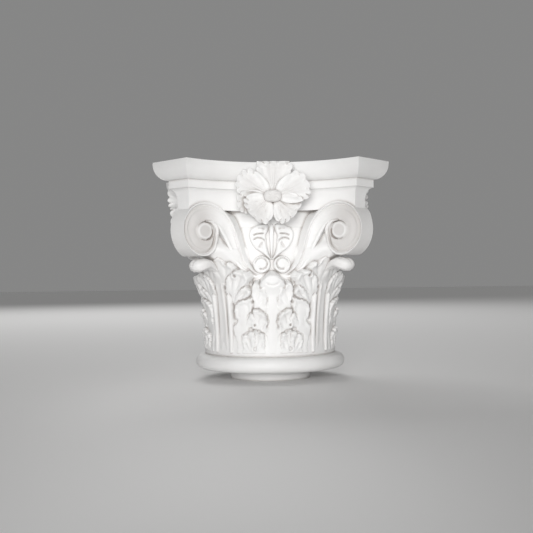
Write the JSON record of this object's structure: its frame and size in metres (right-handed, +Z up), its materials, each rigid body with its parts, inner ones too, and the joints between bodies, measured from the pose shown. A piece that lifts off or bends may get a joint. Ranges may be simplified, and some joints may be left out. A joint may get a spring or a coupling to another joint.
{
  "type": "corinthian capital",
  "caption": "Round-bell corinthian capital with acanthus leaves, corner volutes, a hollow-sided abacus with flowers, a half-round astragal and a short locating spigot.",
  "frame": {"origin": "centre of the spigot's flat underside", "axes": "+Z up the column's axis, -Y towards the front face of the abacus, +X to the right of the front face"},
  "size_m": [0.323, 0.323, 0.305],
  "materials": {
    "plaster": "matt white cast plaster"
  },
  "bodies": {
    "root": {"capital": "plaster"}
  },
  "joints": []
}
